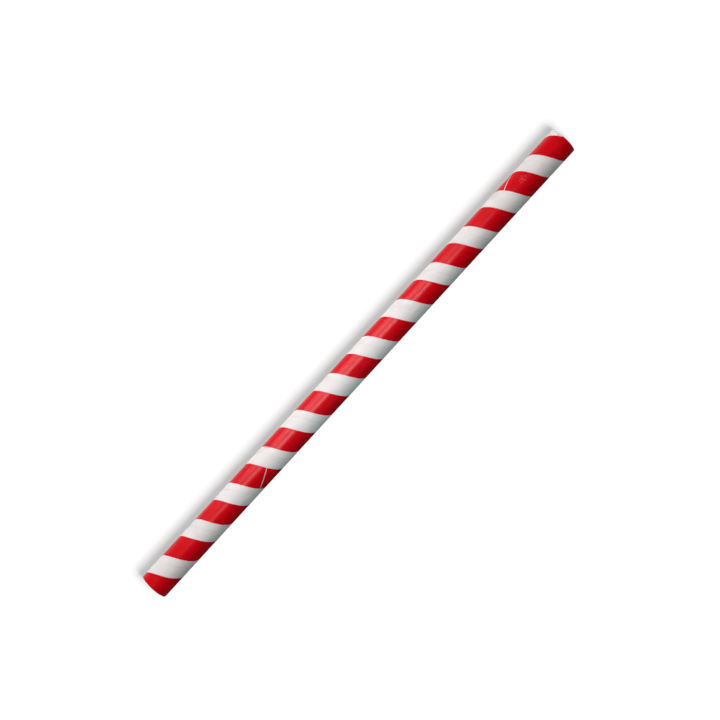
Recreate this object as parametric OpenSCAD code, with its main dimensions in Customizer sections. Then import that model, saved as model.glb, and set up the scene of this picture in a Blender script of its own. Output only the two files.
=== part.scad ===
// Paper drinking straw: strips of paper wound on a slant, one over the other, and glued into a tube.
// The outer strip is printed with a red band along its length, so the straw shows a red and white spiral.
// The straw lies along X as it rests on a table. Its origin is on the table, under its middle.

/* [Tube] */
// Outer diameter
outer_d = 10; // [6:0.5:14]
// Length between the two cut ends
straw_l = 200; // [100:5:260]
// Bevel that the knife leaves on both edges of each end
knife_bevel = 0.1; // [0.02:0.01:0.15]
// Depth of the slight flat along the line that the straw rests on
rest_flat = 0.05; // [0.01:0.01:0.08]

/* [Paper] */
// Thickness of the printed outer strip
outer_ply_t = 0.1; // [0.06:0.01:0.16]
// Thickness of each plain strip under it
inner_ply_t = 0.2; // [0.14:0.02:0.3]
// Number of plain strips under it
inner_plies = 2; // [1:1:4]

/* [Winding] */
// Width of the printed strip
strip_w = 14.3; // [10:0.1:18]
// Gap left between one turn of that strip and the next
seam_gap = 0.15; // [0.05:0.05:0.5]
// Place along the straw where this seam crosses the top
seam_x = 7.65; // [-10:0.05:10]

/* [Print] */
// Width of the red band along the strip
band_w = 7.35; // [3:0.05:9]
// Distance of the band from the middle of the strip
band_shift = 0.64; // [-2:0.02:2]

/* [Hidden] */

paper_white = "#f1efec";
ink_red = "#cf202b";

outer_r = outer_d / 2;
wall_t = outer_ply_t + inner_plies * inner_ply_t;
bore_r = outer_r - wall_t;
ply_r = outer_r - outer_ply_t;
bevel = min(knife_bevel, wall_t / 3);
flat = min(rest_flat, outer_ply_t / 2);

// A strip whose turns lie side by side climbs along the tube by this lead in each turn
girth = PI * outer_d;
strip_pitch = strip_w + seam_gap;
lead = strip_pitch / sqrt(1 - pow(strip_pitch / girth, 2));

// The band keeps some white on both sides of it
spare = (strip_w - band_w) / 2 - seam_gap;
band_off = max(-spare, min(spare, band_shift));
band_x = seam_x - lead * (1 / 2 + band_off / strip_pitch);

// Straight steps in one turn of the winding, sides of a round face, and overrun of each cut
seam_steps = 24;
band_steps = 12;
round_sides = 96;
overrun = 0.2;

// Point at a distance from the axis of the tube and an angle round it
function polar(r, angle) = r * [cos(angle), sin(angle)];

// Half of one end of the wall in section, from the bore to the outside
function end_edge(z, inward) = [
    [bore_r, z + inward * bevel],
    [bore_r + bevel, z],
    [outer_r - bevel, z],
    [outer_r, z + inward * bevel],
];

function reversed(list) = [for (i = [len(list) - 1:-1:0]) list[i]];

// The plain tube, upright about Z, with its bevelled ends and the flat it rests on
module tube() {
    foot = end_edge(-straw_l / 2, 1);
    head = end_edge(straw_l / 2, -1);
    difference() {
        rotate_extrude($fn = round_sides)
            polygon(concat(foot, reversed(head)));
        translate([outer_r - flat, -outer_r, -straw_l])
            cube([outer_r, outer_d, 2 * straw_l]);
    }
}

// A section swept along the winding. Its zero angle crosses the top of the lying straw at x_at_top.
module wound(section, x_at_top, steps) {
    slices = ceil((straw_l + 2 * overrun) * steps / lead);
    run = slices * lead / steps;
    top_angle = 180;
    rotate(top_angle - 360 * (x_at_top + run / 2) / lead)
        linear_extrude(
            height = run,
            center = true,
            twist = -360 * slices / steps,
            slices = slices,
            segments = len(section))
            polygon(section);
}

// The gap between two turns of the outer strip, as deep as that strip is thick
module seam() {
    half = 180 * seam_gap / strip_pitch;
    mouth_r = outer_r + overrun;
    section = [polar(ply_r, -half), polar(mouth_r, -half), polar(mouth_r, half), polar(ply_r, half)];
    wound(section, seam_x, seam_steps);
}

// The part of the outer strip that is printed, between two turns of the seam
module red_band() {
    half = 180 * band_w / strip_pitch;
    sides = ceil(half / 20);
    reach = overrun + outer_r / cos(half / sides) / cos(180 / band_steps);
    fan = [for (i = [0:sides]) polar(reach, half * (2 * i / sides - 1))];
    intersection() {
        difference() {
            tube();
            cylinder(r = ply_r, h = straw_l + 2 * overrun, center = true, $fn = round_sides);
        }
        wound(concat([[0, 0]], fan), band_x, band_steps);
    }
}

// The whole straw, laid down along X
module straw() {
    translate([0, 0, outer_r - flat]) rotate([0, 90, 0]) {
        color(paper_white) difference() {
            tube();
            seam();
            red_band();
        }
        color(ink_red) red_band();
    }
}

straw();
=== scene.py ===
"""A paper drinking straw: three strips of paper wound on a slant, the outer one printed with a red band."""

import math

import bmesh
import bpy
import numpy as np
from mathutils import Matrix


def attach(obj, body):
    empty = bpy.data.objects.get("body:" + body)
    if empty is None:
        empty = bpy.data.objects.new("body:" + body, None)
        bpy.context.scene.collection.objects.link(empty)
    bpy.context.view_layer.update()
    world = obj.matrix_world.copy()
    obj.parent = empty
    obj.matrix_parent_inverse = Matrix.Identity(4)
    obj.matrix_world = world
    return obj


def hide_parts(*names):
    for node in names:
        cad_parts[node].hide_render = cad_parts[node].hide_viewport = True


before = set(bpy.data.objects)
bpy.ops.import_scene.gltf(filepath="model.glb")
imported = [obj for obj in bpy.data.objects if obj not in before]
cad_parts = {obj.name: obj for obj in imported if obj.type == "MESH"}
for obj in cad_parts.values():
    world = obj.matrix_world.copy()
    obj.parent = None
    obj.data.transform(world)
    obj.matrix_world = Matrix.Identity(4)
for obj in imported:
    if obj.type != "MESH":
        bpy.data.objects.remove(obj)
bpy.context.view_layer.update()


# Inner strip: the plain strip that is wound first, on a steel rod, and lines the bore.
# It is bleached kraft paper 0.2 mm thick, glued on its outer side to the strip that follows.
# Its turns lie side by side, so a narrow seam runs round the bore.

straw_length = 200.0  # mm, as all sizes of the straw here
straw_radius = 5.0
bore_radius = 4.5
plain_ply = 0.2  # thickness of a plain strip
inner_ply_radius = bore_radius + plain_ply
rest_flat = 0.05  # depth of the slight flat that the straw rests on
axis_height = straw_radius - rest_flat
strip_half = 7.15  # half the width of a strip
turn_lead = 16.274  # how far a strip climbs along the straw in one turn
steps_per_turn = 96
knife_bevel = 0.03  # on the outer and the inner edge of each end of the straw
ply_bevel = 0.01  # on the edges between two strips there
shortest_edge = 0.002  # shorter ones, which a cut leaves beside a row of points, are closed up
sharp_angle = math.radians(35)  # a steeper turn between two faces shows as an edge
bore_edge_row = 7.05  # mm from the middle of the strip to the outer rows of points in the bore
bore_inner_row = 6.6

straw_girth = 2 * math.pi * straw_radius
strip_per_turn = math.hypot(straw_girth, turn_lead)
off_print = 3 * strip_half  # a place past the strip's edge on its map, where nothing is printed


def cut_square(bm, side, ply_middle):
    """Cuts a wound strip square at one end, closes the cut and bevels its edges.

    side is 1 for the end at +X and -1 for the other. ply_middle is the radius half way through the strip.
    """
    for inset in (knife_bevel, 0):
        cut = bmesh.ops.bisect_plane(
            bm, geom=[*bm.verts, *bm.edges, *bm.faces], dist=1e-5,
            plane_co=(side * (straw_length / 2 - inset), 0, 0), plane_no=(side, 0, 0),
            clear_outer=inset == 0)
    rim = [edge for edge in cut["geom_cut"] if isinstance(edge, bmesh.types.BMEdge)]
    bmesh.ops.holes_fill(bm, edges=rim, sides=0)
    # On the map the cut faces and their bevels lie past the strip's edge, so no print reaches them
    strip_map = bm.loops.layers.uv["strip"]
    for face in {face for edge in rim for face in edge.link_faces}:
        for loop in face.loops:
            loop[strip_map].uv = (loop.vert.co.y, off_print + loop.vert.co.z)
    for vert in {vert for edge in rim for vert in edge.verts}:
        distance = math.hypot(vert.co.y, vert.co.z - axis_height)
        if distance < bore_radius + knife_bevel / 2:
            shift = knife_bevel
        elif distance > straw_radius - knife_bevel:
            shift = -knife_bevel
        elif distance < ply_middle:
            shift = ply_bevel
        else:
            shift = -ply_bevel
        vert.co.y *= 1 + shift / distance
        vert.co.z += (vert.co.z - axis_height) * shift / distance


def wind_strip(name, inner_radius, outer_radius, seam_x, facing, lining, relief=None):
    """Winds a strip about the axis, with its seam over the top at seam_x, and cuts it square at both ends.

    facing and lining are places across the outer and the inner face of the strip, from edge to edge.
    relief gives how far the outer face lies under its radius, from the places along and across the strip.
    The map "strip" holds the place along and across the flat strip in mm.
    """
    across = np.array([*facing, *reversed(lining)])
    count = len(across)
    on_facing = np.arange(count) < len(facing)
    # The strip runs two turns past both ends before it is cut
    reach = straw_length / 2 + 2 * turn_lead
    steps = math.ceil(reach / turn_lead * steps_per_turn)
    turns = np.arange(-steps, steps + 1)[:, None] / steps_per_turn
    along = turns * strip_per_turn + across * turn_lead / straw_girth
    across = np.broadcast_to(across, along.shape)

    radius = np.where(on_facing, outer_radius, inner_radius) * np.ones_like(along)
    if relief:
        radius[:, on_facing] -= relief(along, across)[:, on_facing]
    x = seam_x + (turns - 0.5) * turn_lead + across * strip_per_turn / straw_girth
    y = -radius * np.sin(2 * math.pi * turns)
    z = np.maximum(axis_height + radius * np.cos(2 * math.pi * turns), 0)

    first = np.arange(2 * steps)[:, None] * count
    corner = first + np.arange(count)
    beside = first + (np.arange(count) + 1) % count
    quads = np.stack([corner, beside, beside + count, corner + count], axis=-1).reshape(-1, 4)
    mesh = bpy.data.meshes.new(name)
    mesh.from_pydata(np.stack([x, y, z], axis=-1).reshape(-1, 3).tolist(), [], quads.tolist())
    # On the map the inner face lies past the strip's edge, so the print is on the outer face alone
    flat = np.stack([along, across], axis=-1).reshape(-1, 2)[quads]
    flat[(quads % count >= len(facing)).all(axis=1), :, 1] += off_print
    mesh.uv_layers.new(name="strip").data.foreach_set("uv", flat.ravel())

    bm = bmesh.new()
    bm.from_mesh(mesh)
    for side in (-1, 1):
        cut_square(bm, side, ply_middle=(inner_radius + outer_radius) / 2)
    bmesh.ops.dissolve_degenerate(bm, dist=shortest_edge, edges=bm.edges)
    bmesh.ops.recalc_face_normals(bm, faces=bm.faces)
    bm.to_mesh(mesh)
    bm.free()
    mesh.transform(Matrix.Scale(0.001, 4))
    mesh.shade_smooth()
    mesh.set_sharp_from_angle(angle=sharp_angle)
    strip = bpy.data.objects.new(name, mesh)
    bpy.context.scene.collection.objects.link(strip)
    return strip


def srgb(code):
    """Linear colour of an sRGB hex code."""
    parts = [int(code[i:i + 2], 16) / 255 for i in (1, 3, 5)]
    return (*[c / 12.92 if c <= 0.04045 else ((c + 0.055) / 1.055) ** 2.4 for c in parts], 1.0)


def add_node(tree, kind, inputs=None, **settings):
    """Adds a node with its settings. An input that is a socket is linked, and any other is set."""
    node = tree.nodes.new(kind)
    for key, value in settings.items():
        setattr(node, key, value)
    for key, value in (inputs or {}).items():
        if isinstance(value, bpy.types.NodeSocket):
            tree.links.new(value, node.inputs[key])
        else:
            node.inputs[key].default_value = value
    return node


def lay_paper(tree):
    """The bare paper of a strip: its place on the strip, its colour and the height of its tooth.

    Fibres lie mostly along the strip. Real ones are about 2 mm by 0.03 mm, too fine to show,
    so they are drawn as streaks 7 mm by 0.4 mm. The sheet is a little cloudy over about 5 mm,
    and its tooth, which is about 0.1 mm, is drawn at 0.3 mm.
    """
    streak_length, streak_width = 7, 0.4
    cloud_size = 5
    tooth_size = 0.3
    strip_map = add_node(tree, "ShaderNodeUVMap", uv_map="strip").outputs["UV"]
    fibre_place = add_node(
        tree, "ShaderNodeMapping", {"Vector": strip_map, "Scale": (1 / streak_length, 1 / streak_width, 1)})
    fibres = add_node(
        tree, "ShaderNodeTexNoise",
        {"Vector": fibre_place.outputs["Vector"], "Scale": 1, "Detail": 3, "Roughness": 0.6},
        noise_dimensions="2D")
    clouds = add_node(
        tree, "ShaderNodeTexNoise", {"Vector": strip_map, "Scale": 1 / cloud_size, "Detail": 2},
        noise_dimensions="2D")
    shade = add_node(
        tree, "ShaderNodeMath", {0: fibres.outputs["Fac"], 1: clouds.outputs["Fac"]}, operation="ADD")
    depth = add_node(
        tree, "ShaderNodeMapRange",
        {"Value": shade.outputs["Value"], "From Min": 0.7, "From Max": 1.3})
    colour = add_node(
        tree, "ShaderNodeMix",
        {"Factor": depth.outputs["Result"], "A": srgb("#ebe8e6"), "B": srgb("#f1eeed")}, data_type="RGBA")
    tooth = add_node(
        tree, "ShaderNodeTexNoise", {"Vector": strip_map, "Scale": 1 / tooth_size, "Detail": 2},
        noise_dimensions="2D")
    return strip_map, colour.outputs["Result"], tooth.outputs["Fac"]


# Bleached kraft paper, calendered on the machine: white with a little warmth, dull, and faintly streaked
bleached_paper = bpy.data.materials.new("bleached kraft paper")
bleached_paper.use_nodes = True
tree = bleached_paper.node_tree
_, paper_colour, paper_tooth = lay_paper(tree)
tooth_bump = add_node(
    tree, "ShaderNodeBump", {"Height": paper_tooth, "Strength": 0.5, "Distance": 0.00002})
paper_shader = tree.nodes["Principled BSDF"]
paper_shader.inputs["Roughness"].default_value = 0.65
paper_shader.inputs["IOR"].default_value = 1.4
tree.links.new(paper_colour, paper_shader.inputs["Base Color"])
tree.links.new(tooth_bump.outputs["Normal"], paper_shader.inputs["Normal"])

bore_rows = np.linspace(-bore_inner_row, bore_inner_row, 11)
inner_strip = wind_strip(
    "inner_strip", bore_radius, inner_ply_radius, seam_x=2.2,
    facing=np.linspace(-strip_half, strip_half, 5),
    lining=[-strip_half, -bore_edge_row, *bore_rows, bore_edge_row, strip_half])
inner_strip.data.materials.append(bleached_paper)
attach(inner_strip, "root")
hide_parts("straw")


# Middle strip: a second plain strip of the same paper, wound over the first and glued to it.
# It lies with its seam away from the other seams, so that no two of them meet.
# It shows at both ends, and as the floor of the seam in the outer strip.

middle_ply_radius = inner_ply_radius + plain_ply

middle_strip = wind_strip(
    "middle_strip", inner_ply_radius, middle_ply_radius, seam_x=-3.2,
    facing=np.linspace(-strip_half, strip_half, 9),
    lining=np.linspace(-strip_half, strip_half, 5))
middle_strip.data.materials.append(bleached_paper)
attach(middle_strip, "root")
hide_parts("straw")


# Printed strip: the outer strip, of thin smooth paper 0.1 mm thick, printed along its length before winding.
# It is 14.3 mm wide and leaves a seam of 0.15 mm between its turns, in the white of the stripe.
# The red band is about 7.7 mm wide, a little off the middle, and the print starts afresh every 274 mm.

band_middle = -0.64  # mm across the strip, from its middle
band_half = 3.83
band_low = band_middle - band_half
band_high = band_middle + band_half
edge_spread = 0.1  # how far the ink creeps over the fibres at the band's edges
edge_fade = 0.04  # half of the width that an edge fades over
spread_size = 0.6
wander_length = 334  # mm along the strip for one swing of the band to both sides
wander_depth = 0.32  # how far it swings to a side at the middle of the straw
wander_growth = 0.0012  # and how much further for each mm along the strip toward +X
print_repeat = 274.2  # mm along the strip from one start of the print to the next
print_join = -103.5  # place of one such start along the strip
join_core, join_reach = 0.09, 0.18  # the line there is palest within the first and ends at the second
rub_along, rub_across = 175.6, 0.55  # place of the rub on the strip
rub_core, rub_reach = 0.6, 3.6  # the rub is strongest within the first and ends at the second
rub_lift = 0.29
fleck_size = 0.62
fleck_ink_left = 0.91  # share of the ink that stays where a fleck is lifted
mottle_size = 0.8
# Painted shade along the seam: full at the first distance and gone at the second
seam_shade_full, seam_shade_reach = 0.05, 0.3  # mm in from the strip's edges

press_start = 6.95  # mm from the middle of the strip to where its edges begin to dip
press_row = 7.07  # and to a row of points in the dip
press_width, press_depth = 0.2, 0.03
cockle_depth = 0.004
crease_middle, crease_width, crease_depth = 5.2, 0.25, 0.012


def press_relief(along, across):
    """The winding belt presses the strip's edges down and leaves a faint crease beside one of them.

    The glued paper cockles a little as it dries, in ripples about 12 mm long and 7 mm wide.
    """
    edge = press_depth * np.clip((np.abs(across) - press_start) / press_width, 0, 1) ** 2
    cockle = np.sin(along / 1.9 + 1.3 * np.sin(across / 1.7)) * np.sin(across / 1.1 + along / 23)
    crease = np.exp(-((across - crease_middle) / crease_width) ** 2)
    return edge + cockle_depth * (1 + cockle) + crease_depth * crease


white_left = np.linspace(-press_start, band_low, 5)
red_band = np.linspace(band_low, band_high, 13)[1:-1]
white_right = np.linspace(band_high, press_start, 7)
printed_strip = wind_strip(
    "printed_strip", middle_ply_radius, straw_radius, seam_x=7.65,
    facing=[-strip_half, -press_row, *white_left, *red_band, *white_right, press_row, strip_half],
    lining=np.linspace(-strip_half, strip_half, 5), relief=press_relief)

# Bleached paper printed with red flexographic ink: dull white beside a strong red with a soft sheen
printed_paper = bpy.data.materials.new("bleached paper with red flexo print")
printed_paper.use_nodes = True
tree = printed_paper.node_tree
strip_map, paper_colour, paper_tooth = lay_paper(tree)
place = add_node(tree, "ShaderNodeSeparateXYZ", {"Vector": strip_map})

# The band's edges spread by up to 0.1 mm as the ink wets the fibres, and the whole band wanders
# by up to 0.5 mm from its place, because the web ran a little from side to side in the press
spread = add_node(
    tree, "ShaderNodeTexNoise", {"Vector": strip_map, "Scale": 1 / spread_size, "Detail": 2},
    noise_dimensions="2D")
spread_mm = add_node(
    tree, "ShaderNodeMapRange",
    {"Value": spread.outputs["Fac"], "To Min": -edge_spread, "To Max": edge_spread})
wander_angle = add_node(
    tree, "ShaderNodeMath", {0: place.outputs["X"], 1: 2 * math.pi / wander_length}, operation="MULTIPLY")
wander_wave = add_node(tree, "ShaderNodeMath", {0: wander_angle.outputs["Value"]}, operation="SINE")
wander_reach = add_node(
    tree, "ShaderNodeMath", {0: place.outputs["X"], 1: wander_growth, 2: wander_depth},
    operation="MULTIPLY_ADD")
band_place = add_node(
    tree, "ShaderNodeMath",
    {0: wander_wave.outputs["Value"], 1: wander_reach.outputs["Value"], 2: band_middle},
    operation="MULTIPLY_ADD")
off_middle = add_node(
    tree, "ShaderNodeMath", {0: place.outputs["Y"], 1: band_place.outputs["Value"]}, operation="SUBTRACT")
from_middle = add_node(tree, "ShaderNodeMath", {0: off_middle.outputs["Value"]}, operation="ABSOLUTE")
to_edge = add_node(
    tree, "ShaderNodeMath", {0: from_middle.outputs["Value"], 1: spread_mm.outputs["Result"]},
    operation="ADD")
in_band = add_node(
    tree, "ShaderNodeMapRange",
    {"Value": to_edge.outputs["Value"],
     "From Min": band_half - edge_fade, "From Max": band_half + edge_fade, "To Min": 1, "To Max": 0})

# The plate's two ends leave a pale line about 0.3 mm wide, square across the band, at each repeat
past_join = add_node(
    tree, "ShaderNodeMath", {0: place.outputs["X"], 1: print_join + print_repeat / 2}, operation="SUBTRACT")
in_repeat = add_node(
    tree, "ShaderNodeMath", {0: past_join.outputs["Value"], 1: print_repeat}, operation="FLOORED_MODULO")
join_off = add_node(
    tree, "ShaderNodeMath", {0: in_repeat.outputs["Value"], 1: print_repeat / 2}, operation="SUBTRACT")
join_near = add_node(tree, "ShaderNodeMath", {0: join_off.outputs["Value"]}, operation="ABSOLUTE")
join_ink = add_node(
    tree, "ShaderNodeMapRange",
    {"Value": join_near.outputs["Value"],
     "From Min": join_core, "From Max": join_reach, "To Min": 0.25, "To Max": 1})

# A rub near one end has lifted flecks of ink over about 5 mm
rub_place = add_node(
    tree, "ShaderNodeVectorMath", {0: strip_map, 1: (rub_along, rub_across, 0)}, operation="DISTANCE")
rub_near = add_node(
    tree, "ShaderNodeMapRange",
    {"Value": rub_place.outputs["Value"],
     "From Min": rub_core, "From Max": rub_reach, "To Min": 1, "To Max": 0})
flecks = add_node(
    tree, "ShaderNodeTexNoise",
    {"Vector": strip_map, "Scale": 1 / fleck_size, "Detail": 2, "Roughness": 0.7}, noise_dimensions="2D")
fleck_depth = add_node(
    tree, "ShaderNodeMath", {0: rub_near.outputs["Result"], 1: rub_lift, 2: flecks.outputs["Fac"]},
    operation="MULTIPLY_ADD")
fleck_ink = add_node(
    tree, "ShaderNodeMapRange",
    {"Value": fleck_depth.outputs["Value"],
     "From Min": 0.74, "From Max": 0.98, "To Min": 1, "To Max": fleck_ink_left})

# Painted shade greys the paper for about 0.25 mm on both sides of the seam, so that the shallow seam shows
# as a faint grey line
from_edge = add_node(tree, "ShaderNodeMath", {0: place.outputs["Y"]}, operation="ABSOLUTE")
seam_shade = add_node(
    tree, "ShaderNodeMapRange",
    {"Value": from_edge.outputs["Value"],
     "From Min": strip_half - seam_shade_reach, "From Max": strip_half - seam_shade_full, "To Min": 0, "To Max": 0.2})
# The paper with the painted shade along the seam
seam_shaded_paper = add_node(
    tree, "ShaderNodeMix",
    {"Factor": seam_shade.outputs["Result"], "A": paper_colour, "B": srgb("#cfcac6")}, data_type="RGBA")

ink_in_band = add_node(
    tree, "ShaderNodeMath", {0: in_band.outputs["Result"], 1: join_ink.outputs["Result"]},
    operation="MULTIPLY")
ink = add_node(
    tree, "ShaderNodeMath", {0: ink_in_band.outputs["Value"], 1: fleck_ink.outputs["Result"]},
    operation="MULTIPLY")

# The ink lies unevenly on the fibres, in a mottle of about 0.8 mm
mottle = add_node(
    tree, "ShaderNodeTexNoise", {"Vector": strip_map, "Scale": 1 / mottle_size, "Detail": 3},
    noise_dimensions="2D")
mottle_depth = add_node(
    tree, "ShaderNodeMapRange", {"Value": mottle.outputs["Fac"], "From Min": 0.3, "From Max": 0.7})
ink_colour = add_node(
    tree, "ShaderNodeMix",
    {"Factor": mottle_depth.outputs["Result"], "A": srgb("#d40314"), "B": srgb("#de0417")},
    data_type="RGBA")
print_colour = add_node(
    tree, "ShaderNodeMix",
    {"Factor": ink.outputs["Value"], "A": seam_shaded_paper.outputs["Result"], "B": ink_colour.outputs["Result"]},
    data_type="RGBA")
print_roughness = add_node(
    tree, "ShaderNodeMapRange", {"Value": ink.outputs["Value"], "To Min": 0.6, "To Max": 0.25})

# The winding belt rubs fine lines along the straw, up to 40 mm long. They are about 0.1 mm apart,
# too fine to show, and are drawn at 0.5 mm.
belt_line_length, belt_line_gap = 0.04, 0.0005  # m
belt_place = add_node(tree, "ShaderNodeTexCoord")
belt_stretch = add_node(
    tree, "ShaderNodeMapping",
    {"Vector": belt_place.outputs["Object"],
     "Scale": (1 / belt_line_length, 1 / belt_line_gap, 1 / belt_line_gap)})
belt_lines = add_node(
    tree, "ShaderNodeTexNoise", {"Vector": belt_stretch.outputs["Vector"], "Scale": 1, "Detail": 2})
tooth_bump = add_node(
    tree, "ShaderNodeBump", {"Height": paper_tooth, "Strength": 0.5, "Distance": 0.00001})
belt_bump = add_node(
    tree, "ShaderNodeBump",
    {"Height": belt_lines.outputs["Fac"], "Strength": 0.6, "Distance": 0.00002,
     "Normal": tooth_bump.outputs["Normal"]})

print_shader = tree.nodes["Principled BSDF"]
print_shader.inputs["IOR"].default_value = 1.2
tree.links.new(print_colour.outputs["Result"], print_shader.inputs["Base Color"])
tree.links.new(print_roughness.outputs["Result"], print_shader.inputs["Roughness"])
tree.links.new(belt_bump.outputs["Normal"], print_shader.inputs["Normal"])

printed_strip.data.materials.append(printed_paper)
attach(printed_strip, "root")
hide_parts("straw")


# Table and backdrop: a pale table top and a low white wall round it, both matt.
# To the camera and in reflections they are white. The table keeps the straw's shadow,
# and the light that it returns to the straw is a cool grey.

table_radius = 2.5  # m, as all sizes from here on
table_drop = 0.00002  # keeps the table just clear of the straw
wall_height = 0.85
table_glow = 0.49
round_sides = 96


def set_up(name, bm):
    """Makes an object of a finished mesh and puts it into the scene."""
    mesh = bpy.data.meshes.new(name)
    bm.to_mesh(mesh)
    bm.free()
    thing = bpy.data.objects.new(name, mesh)
    bpy.context.scene.collection.objects.link(thing)
    return thing


def looked_at(tree):
    """1 where the surface is seen, straight or in a reflection, and 0 where it only lights other things."""
    ray = add_node(tree, "ShaderNodeLightPath")
    camera_or_mirror = add_node(
        tree, "ShaderNodeMath", {0: ray.outputs["Is Camera Ray"], 1: ray.outputs["Is Glossy Ray"]},
        operation="MAXIMUM")
    seen = add_node(
        tree, "ShaderNodeMath",
        {0: camera_or_mirror.outputs["Value"], 1: ray.outputs["Is Transmission Ray"]}, operation="MAXIMUM")
    return seen.outputs["Value"]


bm = bmesh.new()
bmesh.ops.create_circle(
    bm, cap_ends=True, segments=round_sides, radius=table_radius,
    matrix=Matrix.Translation((0, 0, -table_drop)))
table = set_up("table", bm)

# Laminated table top, matt: white where it is looked at, and a cool grey in the light it returns
table_top = bpy.data.materials.new("matt laminate")
table_top.use_nodes = True
tree = table_top.node_tree
table_seen = looked_at(tree)
table_colour = add_node(
    tree, "ShaderNodeMix",
    {"Factor": table_seen, "A": srgb("#7e8686"), "B": srgb("#959595")}, data_type="RGBA")
glow = add_node(tree, "ShaderNodeMath", {0: table_seen, 1: table_glow}, operation="MULTIPLY")
table_shader = tree.nodes["Principled BSDF"]
table_shader.inputs["Roughness"].default_value = 1
table_shader.inputs["Specular IOR Level"].default_value = 0
table_shader.inputs["Emission Color"].default_value = srgb("#ffffff")
tree.links.new(table_colour.outputs["Result"], table_shader.inputs["Base Color"])
tree.links.new(glow.outputs["Value"], table_shader.inputs["Emission Strength"])
table.data.materials.append(table_top)

bm = bmesh.new()
bmesh.ops.create_cone(
    bm, segments=round_sides, radius1=table_radius, radius2=table_radius, depth=wall_height,
    matrix=Matrix.Translation((0, 0, wall_height / 2)))
backdrop = set_up("backdrop", bm)

# White card, lit evenly: white where it is looked at
white_card = bpy.data.materials.new("white card")
white_card.use_nodes = True
tree = white_card.node_tree
card_shader = add_node(tree, "ShaderNodeEmission", {"Strength": looked_at(tree)})
tree.links.new(card_shader.outputs["Emission"], tree.nodes["Material Output"].inputs["Surface"])
backdrop.data.materials.append(white_card)


# Lights: soft panels hang along one side of the straw and over it, and a small fill hangs on its far side.
# They are no longer than the straw, so its ends are a little darker than its middle.
# They light the straw alone, and a broad lamp far off lights the table.

axis_z = axis_height / 1000
panel_x = -0.01
panel_distance = 0.3
fill_distance = 0.09

straw_set = bpy.data.collections.new("straw")
for strip in (inner_strip, middle_strip, printed_strip):
    straw_set.objects.link(strip)
table_set = bpy.data.collections.new("table top")
table_set.objects.link(table)


def hang_panel(name, size, colour, radiance, place, turn, lit):
    """Hangs a soft panel that the camera doesn't see, and that lights only the strips in lit."""
    panel = bpy.data.lights.new(name, "AREA")
    panel.shape = "RECTANGLE"
    panel.size, panel.size_y = size
    panel.color = srgb(colour)[:3]
    panel.energy = math.pi * panel.size * panel.size_y * radiance
    lamp = bpy.data.objects.new(name, panel)
    lamp.location = place
    lamp.rotation_euler = turn
    lamp.visible_camera = False
    lamp.light_linking.receiver_collection = lit
    lamp.light_linking.blocker_collection = straw_set
    bpy.context.scene.collection.objects.link(lamp)
    return lamp


# Each panel spans the angles from low to high, in degrees round the straw from level on the lit side.
# on_paper says whether it lights the paper, and in_gloss whether it shows in the paper's sheen.
for name, low, high, distance, length, colour, radiance, on_paper, in_gloss in (
        ("side_panel", 8, 28, panel_distance, 0.15, "#ffffff", 1.0, True, True),
        ("low_key_panel", 28, 53, panel_distance, 0.15, "#fffcfc", 7.4, True, True),
        ("high_key_panel", 58, 84, panel_distance, 0.15, "#fff5f6", 5.2, True, True),
        ("low_sheen_strip", 8, 53, panel_distance, 0.2, "#ececff", 6.0, False, True),
        ("high_sheen_strip", 64, 82, panel_distance, 0.2, "#ffffff", 13.0, False, True),
        ("overhead_panel", 84, 100, panel_distance, 0.15, "#ffffff", 2.6, True, False),
        ("far_fill", 110, 155, fill_distance, 0.045, "#baffff", 0.88, True, False)):
    middle = math.radians((low + high) / 2)
    width = 2 * distance * math.tan(math.radians(high - low) / 2)
    lamp = hang_panel(
        name, (length, width), colour, radiance,
        place=(panel_x, distance * math.cos(middle), axis_z + distance * math.sin(middle)),
        turn=(middle - math.pi / 2, 0, 0), lit=straw_set)
    lamp.visible_diffuse = on_paper
    lamp.visible_glossy = in_gloss

# A black flag leans back along the far side and keeps that edge of the straw dark.
# It shows in reflections only.
flag_half = 0.25
flag_near_y, flag_near_z = -0.0052, 0.0001
flag_far_y, flag_far_z = -0.16, 0.06
flag_mesh = bpy.data.meshes.new("flag")
flag_mesh.from_pydata(
    [(-flag_half, flag_near_y, flag_near_z), (flag_half, flag_near_y, flag_near_z),
     (flag_half, flag_far_y, flag_far_z), (-flag_half, flag_far_y, flag_far_z)], [],
    [(0, 1, 2, 3)])
flag = bpy.data.objects.new("flag", flag_mesh)
bpy.context.scene.collection.objects.link(flag)
for ray_kind in ("camera", "diffuse", "transmission", "shadow"):
    setattr(flag, "visible_" + ray_kind, False)

# Black cotton velvet: it returns almost no light
velvet = bpy.data.materials.new("black velvet")
velvet.use_nodes = True
velvet_shader = velvet.node_tree.nodes["Principled BSDF"]
velvet_shader.inputs["Base Color"].default_value = srgb("#0c0c0c")
velvet_shader.inputs["Roughness"].default_value = 1
velvet_shader.inputs["Specular IOR Level"].default_value = 0
flag_mesh.materials.append(velvet)

# The table beside the straw and off its ends returns some of the panels' light
return_z = 0.0001  # just over the table
for name, x, y, size, colour, radiance in (
        ("near_return", 0, 0.034, (0.2, 0.05), "#fff0ef", 0.35),
        ("head_return", 0.121, 0, (0.04, 0.05), "#ffffff", 1.0),
        ("foot_return", -0.121, 0, (0.04, 0.05), "#ffffff", 1.0)):
    lamp = hang_panel(
        name, size, colour, radiance, place=(x, y, return_z), turn=(math.pi, 0, 0), lit=straw_set)
    lamp.visible_glossy = False

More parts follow.
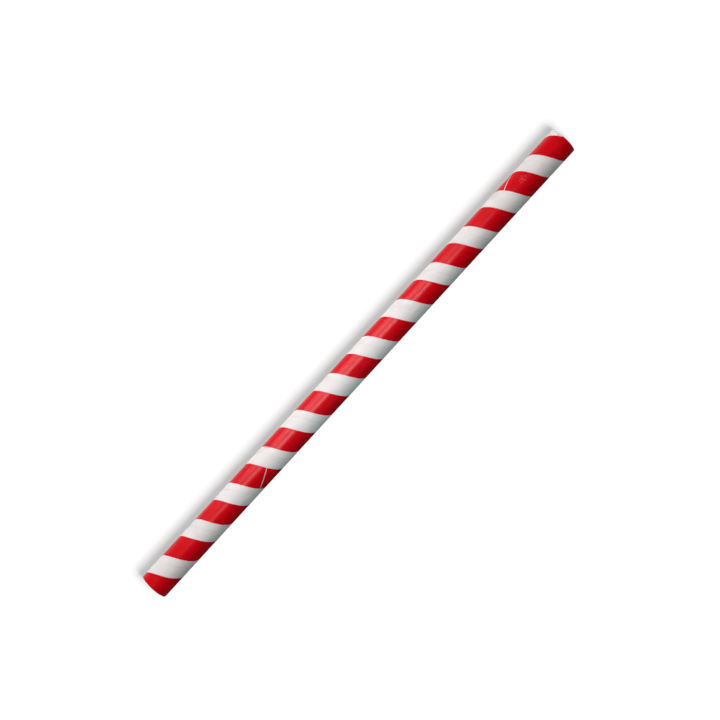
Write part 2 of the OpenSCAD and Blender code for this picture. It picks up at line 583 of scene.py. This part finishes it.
# A small panel off each end lights the paper's cut edges and the bore
end_panel_size = 0.16
end_panel_x, end_panel_z = 0.4, 0.085
end_panel_tilt = math.radians(75)
end_panel_radiance = 5
lining_set = bpy.data.collections.new("lining")
for strip in (inner_strip, middle_strip):
    lining_set.objects.link(strip)
for name, side in (("head_panel", 1), ("foot_panel", -1)):
    lamp = hang_panel(
        name, (end_panel_size, end_panel_size), "#ffffff", end_panel_radiance,
        place=(side * end_panel_x, 0, end_panel_z), turn=(0, side * end_panel_tilt, 0), lit=lining_set)
    lamp.visible_glossy = False

# A broad soft lamp high over the far side lights the table and throws the straw's shadow
table_lamp_height = 62.5  # degrees over the table
table_light = bpy.data.lights.new("table_lamp", "SUN")
table_light.angle = math.radians(31)
table_light.energy = 6.29
table_lamp = bpy.data.objects.new("table_lamp", table_light)
table_lamp.rotation_euler = (math.radians(90 - table_lamp_height), 0, 0)
table_lamp.visible_camera = False
table_lamp.visible_glossy = False
table_lamp.light_linking.receiver_collection = table_set
bpy.context.scene.collection.objects.link(table_lamp)

# A lamp in a room spreads the shadow a little past the straw's ends, and one far off doesn't.
# So an unseen tube, 2 mm longer than the straw at each end, casts this shadow.
shadow_overhang = 0.002
bm = bmesh.new()
bmesh.ops.create_cone(
    bm, segments=64, radius1=axis_z, radius2=axis_z, depth=straw_length / 1000 + 2 * shadow_overhang,
    matrix=Matrix.Translation((0, 0, axis_z)) @ Matrix.Rotation(math.pi / 2, 4, "Y"))
caster = set_up("shadow_caster", bm)
caster.data.materials.append(velvet)
for ray_kind in ("camera", "diffuse", "glossy", "transmission"):
    setattr(caster, "visible_" + ray_kind, False)
caster_set = bpy.data.collections.new("shadow caster")
caster_set.objects.link(caster)
table_lamp.light_linking.blocker_collection = caster_set

# A dim room lies above the wall
room = bpy.data.worlds.new("dim room")
room.use_nodes = True
room.node_tree.nodes["Background"].inputs["Color"].default_value = srgb("#262626")
bpy.context.scene.world = room
bpy.context.scene.view_settings.view_transform = "Standard"


# Camera: straight over the straw, turned so that the straw rises from lower left to upper right.
# Its height and lens give the straw its size in a frame of 720 by 720 pixels.

half_frame_px = 360
focal_px = 1277
camera_x, camera_y, camera_z = 0.00115, 0.00042, 0.4275
camera_turn = math.radians(-47.5)
camera = bpy.data.objects.new("camera", bpy.data.cameras.new("camera"))
camera.data.angle = 2 * math.atan(half_frame_px / focal_px)
camera.location = (camera_x, camera_y, camera_z)
camera.rotation_euler = (0, 0, camera_turn)
bpy.context.scene.collection.objects.link(camera)
bpy.context.scene.camera = camera
